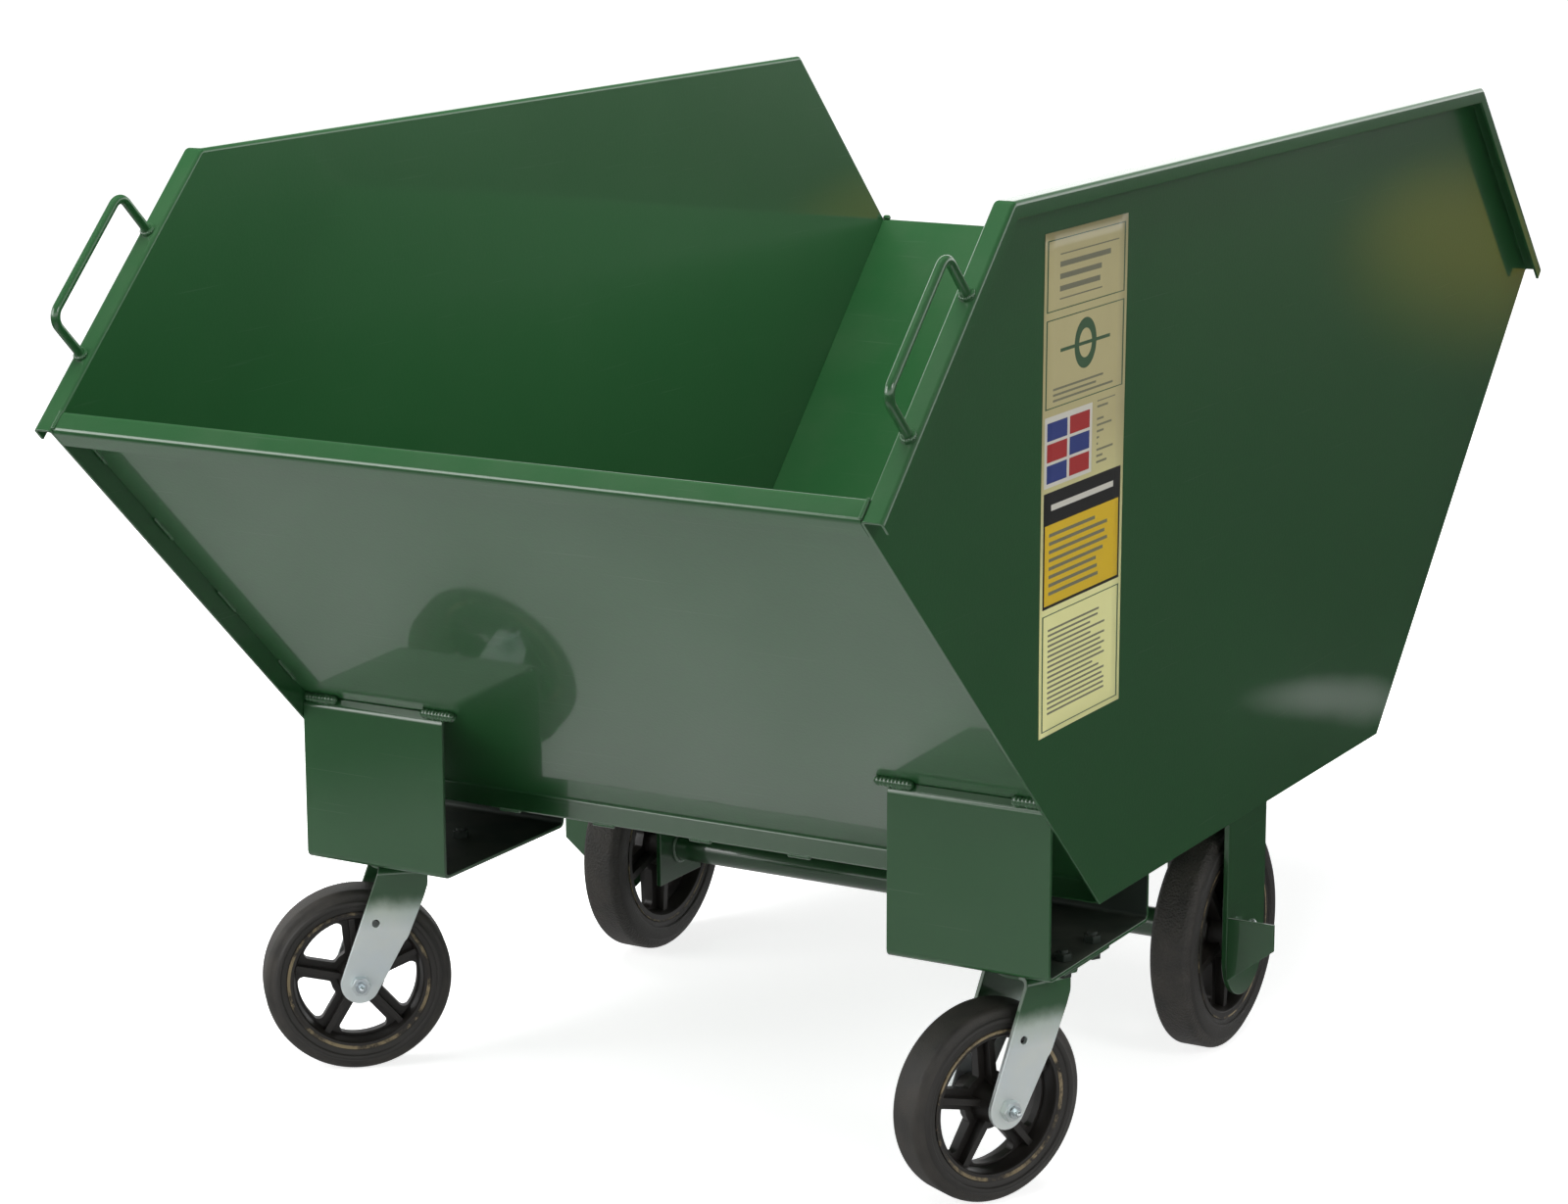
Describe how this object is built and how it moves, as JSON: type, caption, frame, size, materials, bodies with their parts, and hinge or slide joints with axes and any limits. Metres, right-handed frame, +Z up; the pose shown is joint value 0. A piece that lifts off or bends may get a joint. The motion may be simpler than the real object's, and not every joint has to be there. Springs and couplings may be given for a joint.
{
  "type": "wheeled waste cart",
  "caption": "Open six-sided sheet-steel waste hopper with rod handles, on two swivel casters and two large fixed wheels.",
  "frame": {"origin": "on the floor, below the middle of the hopper: midway between the two side panels and midway between the front and rear lips. The box of the whole part reaches further to -X, because the left caster stands turned outwards at rest", "axes": "+X towards the side panel with the label, -Y towards the handles and casters, +Y towards the rear wheels and rear lip, +Z up"},
  "size_m": [0.9728, 1.699, 1.019],
  "materials": {
    "enamel": "gloss",
    "zinc": "satin",
    "rubber": "matt",
    "wheel_core": "satin",
    "label": "satin"
  },
  "bodies": {
    "cart": {"side_panel_left": "enamel", "side_panel_right": "enamel", "front_sheet": "enamel", "floor_sheet": "enamel", "rear_sheet": "enamel", "handle_left": "enamel", "handle_right": "enamel", "caster_box_left": "enamel", "caster_box_right": "enamel", "outer_leg_left": "enamel", "outer_leg_right": "enamel", "inner_leg_left": "enamel", "inner_leg_right": "enamel", "axle_guard_left": "enamel", "axle_guard_right": "enamel", "axle_tube": "enamel", "rear_axle": "zinc", "axle_washers": "zinc", "cotter_pins": "zinc", "label": "label", "caster_plate_left": "zinc", "kingpin_left": "zinc", "kingpin_nut_left": "zinc", "caster_bolts_left": "zinc", "caster_nuts_left": "zinc", "caster_plate_right": "zinc", "kingpin_right": "zinc", "kingpin_nut_right": "zinc", "caster_bolts_right": "zinc", "caster_nuts_right": "zinc"},
    "fork_left": {"caster_fork_left": "zinc", "swivel_balls_left": "zinc", "axle_bolt_left": "zinc", "axle_nut_left": "zinc", "axle_sleeve_left": "zinc", "hub_washers_left": "zinc", "grease_fitting_left": "zinc"},
    "caster_wheel_left": {"caster_core_left": "wheel_core", "caster_tyre_left": "rubber", "caster_rollers_left": "zinc"},
    "rear_wheel_left": {"rear_core_left": "wheel_core", "rear_tyre_left": "rubber", "rear_rollers_left": "zinc"},
    "fork_right": {"caster_fork_right": "zinc", "swivel_balls_right": "zinc", "axle_bolt_right": "zinc", "axle_nut_right": "zinc", "axle_sleeve_right": "zinc", "hub_washers_right": "zinc", "grease_fitting_right": "zinc"},
    "caster_wheel_right": {"caster_core_right": "wheel_core", "caster_tyre_right": "rubber", "caster_rollers_right": "zinc"},
    "rear_wheel_right": {"rear_core_right": "wheel_core", "rear_tyre_right": "rubber", "rear_rollers_right": "zinc"}
  },
  "joints": [
    {"name": "swivel_left", "type": "hinge", "parent": "cart", "child": "fork_left", "pos_m": [-0.3775, -0.3664, 0.235], "axis": [0, 0, 1], "continuous": true},
    {"name": "caster_roll_left", "type": "hinge", "parent": "fork_left", "child": "caster_wheel_left", "pos_m": [-0.42183, -0.40534, 0.1016], "axis": [0.66, -0.7513, 0], "continuous": true},
    {"name": "rear_roll_left", "type": "hinge", "parent": "cart", "child": "rear_wheel_left", "pos_m": [-0.3625, 0.1179, 0.127], "axis": [1, 0, 0], "continuous": true},
    {"name": "swivel_right", "type": "hinge", "parent": "cart", "child": "fork_right", "pos_m": [0.3775, -0.3664, 0.235], "axis": [0, 0, 1], "continuous": true},
    {"name": "caster_roll_right", "type": "hinge", "parent": "fork_right", "child": "caster_wheel_right", "pos_m": [0.35081, -0.41902, 0.1016], "axis": [0.8918, -0.4524, 0], "continuous": true},
    {"name": "rear_roll_right", "type": "hinge", "parent": "cart", "child": "rear_wheel_right", "pos_m": [0.3625, 0.1179, 0.127], "axis": [1, 0, 0], "continuous": true}
  ]
}
